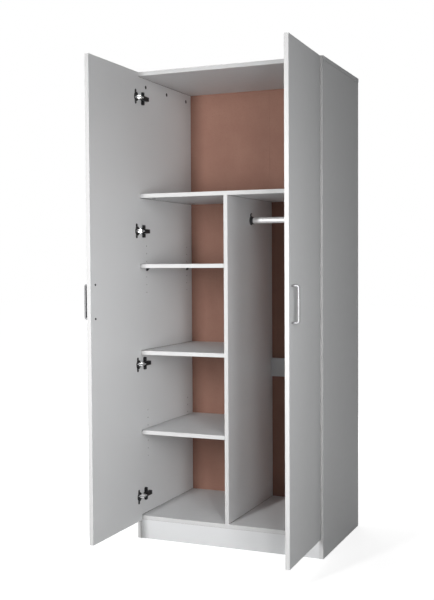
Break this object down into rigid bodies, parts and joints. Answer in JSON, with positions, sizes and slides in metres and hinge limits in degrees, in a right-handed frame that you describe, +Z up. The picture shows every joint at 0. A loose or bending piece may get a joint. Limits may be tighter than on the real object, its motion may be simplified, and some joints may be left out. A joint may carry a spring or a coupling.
{
  "type": "wardrobe",
  "caption": "White board wardrobe with its doors standing open: a shelved bay, a hanging bay with a rail, a top compartment, bow handles and concealed cup hinges.",
  "frame": {"origin": "on the floor under the middle of the kickboard", "axes": "+Z up, the front faces -Y, +X to the right of someone facing the wardrobe"},
  "size_m": [0.8467, 0.9235, 1.91],
  "materials": {
    "white_board": "white melamine facing, satin",
    "hardboard": "bare brown hardboard, smooth side",
    "rail_chrome": "bright plated tube",
    "bracket_metal": "plated zinc",
    "screw_steel": "zinc plated",
    "screw_dark": "dark plated",
    "pin_plastic": "black moulded",
    "cam_metal": "dark die-cast zinc",
    "beech": "bare beech",
    "handle_metal": "satin plated",
    "hinge_dark": "dark plated pressing",
    "link_steel": "bright steel"
  },
  "bodies": {
    "carcass": {"side_left": "white_board", "side_right": "white_board", "top_panel": "white_board", "bottom_panel": "white_board", "kickboard": "white_board", "fixed_shelf": "white_board", "divider": "white_board", "middle_shelf": "white_board", "upper_shelf": "white_board", "lower_shelf": "white_board", "rear_brace": "white_board", "back_left": "hardboard", "back_right": "hardboard", "hanging_rail": "rail_chrome", "rail_brackets": "bracket_metal", "rail_bracket_screws": "screw_steel", "shelf_pins": "pin_plastic", "cam_locks": "cam_metal", "cam_bolts": "screw_steel", "dowels": "beech", "hinge_arms_left": "hinge_dark", "hinge_plates_left": "hinge_dark", "hinge_arms_right": "hinge_dark", "hinge_plates_right": "hinge_dark"},
    "door_left_body": {"door_left": "white_board", "handle_left": "handle_metal", "handle_screws_left": "screw_dark", "hinge_cups_left": "hinge_dark"},
    "outer_links_left": {"hinge_outer_links_left": "link_steel"},
    "inner_links_left": {"hinge_inner_links_left": "link_steel"},
    "door_right_body": {"door_right": "white_board", "handle_right": "handle_metal", "handle_screws_right": "screw_dark", "hinge_cups_right": "hinge_dark"},
    "outer_links_right": {"hinge_outer_links_right": "link_steel"},
    "inner_links_right": {"hinge_inner_links_right": "link_steel"}
  },
  "joints": [
    {"name": "door_left_swing", "type": "hinge", "parent": "outer_links_left", "child": "door_left_body", "pos_m": [-0.37729, -0.02617, 0.993], "axis": [0, 0, -1], "range_deg": [-131.4, 21.9]},
    {"name": "outer_links_left_turn", "type": "hinge", "parent": "carcass", "child": "outer_links_left", "pos_m": [-0.3676, -0.0051, 0.993], "axis": [0, 0, 1], "range_deg": [-41.5, 7]},
    {"name": "inner_links_left_turn", "type": "hinge", "parent": "door_left_body", "child": "inner_links_left", "pos_m": [-0.38179, -0.02867, 0.993], "axis": [0, 0, 1], "range_deg": [-105.95, 17.74]},
    {"name": "door_right_swing", "type": "hinge", "parent": "outer_links_right", "child": "door_right_body", "pos_m": [0.37703, -0.02629, 0.993], "axis": [0, 0, 1], "range_deg": [-133.59, 19.71]},
    {"name": "outer_links_right_turn", "type": "hinge", "parent": "carcass", "child": "outer_links_right", "pos_m": [0.3676, -0.0051, 0.993], "axis": [0, 0, -1], "range_deg": [-42.19, 6.31]},
    {"name": "inner_links_right_turn", "type": "hinge", "parent": "door_right_body", "child": "inner_links_right", "pos_m": [0.3816, -0.02867, 0.993], "axis": [0, 0, -1], "range_deg": [-107.72, 15.98]}
  ],
  "couplings": [
    {"joint": "outer_links_left_turn", "follows": "door_left_swing", "ratio": 0.31507},
    {"joint": "inner_links_left_turn", "follows": "door_left_swing", "ratio": 0.80558},
    {"joint": "outer_links_right_turn", "follows": "door_right_swing", "ratio": 0.31507},
    {"joint": "inner_links_right_turn", "follows": "door_right_swing", "ratio": 0.80558}
  ]
}
